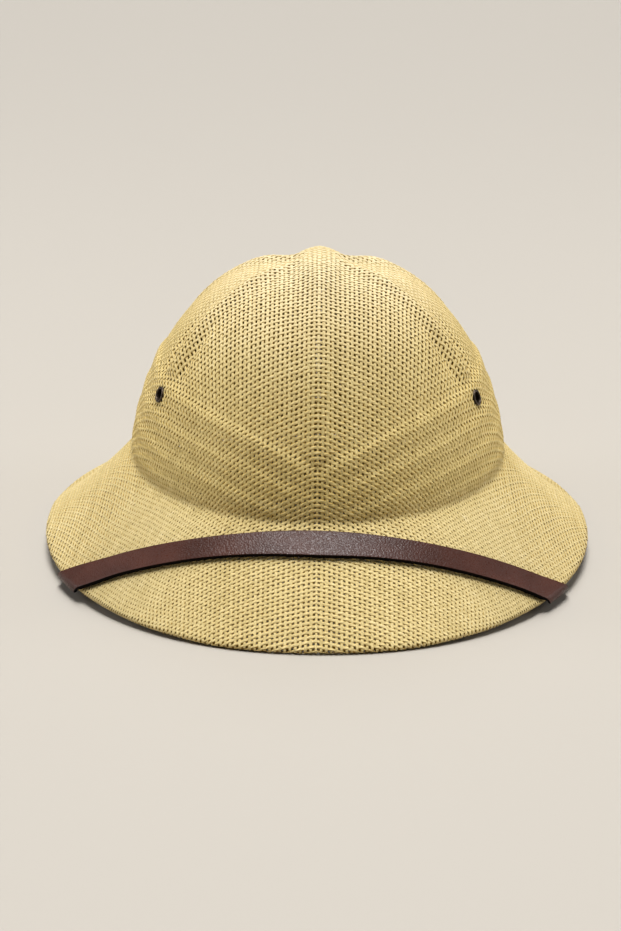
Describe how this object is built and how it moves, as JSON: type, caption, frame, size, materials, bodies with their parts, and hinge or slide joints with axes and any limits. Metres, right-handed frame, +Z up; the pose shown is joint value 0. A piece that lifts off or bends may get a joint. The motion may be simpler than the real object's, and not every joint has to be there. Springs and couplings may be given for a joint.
{
  "type": "pith helmet",
  "caption": "Woven straw pith helmet: ribbed dome crown with a pleated band, sloping brim, vent eyelets and a leather chin strap laid over the front brim.",
  "frame": {"origin": "on the surface that the rim rests on, under the middle of the crown", "axes": "+Z up through the crown, -Y towards the front, +X towards the side at the right of the picture"},
  "size_m": [0.282, 0.328, 0.15],
  "materials": {
    "straw": "matt woven straw yarn",
    "brown_leather": "fine pebble grain, satin",
    "dark_metal": "dark bronze, satin"
  },
  "bodies": {
    "root": {"shell": "straw", "chin_strap": "brown_leather", "eyelet_front_left": "dark_metal", "eyelet_front_right": "dark_metal", "eyelet_rear_left": "dark_metal", "eyelet_rear_right": "dark_metal", "strap_stud_left": "dark_metal", "strap_stud_right": "dark_metal"}
  },
  "joints": []
}
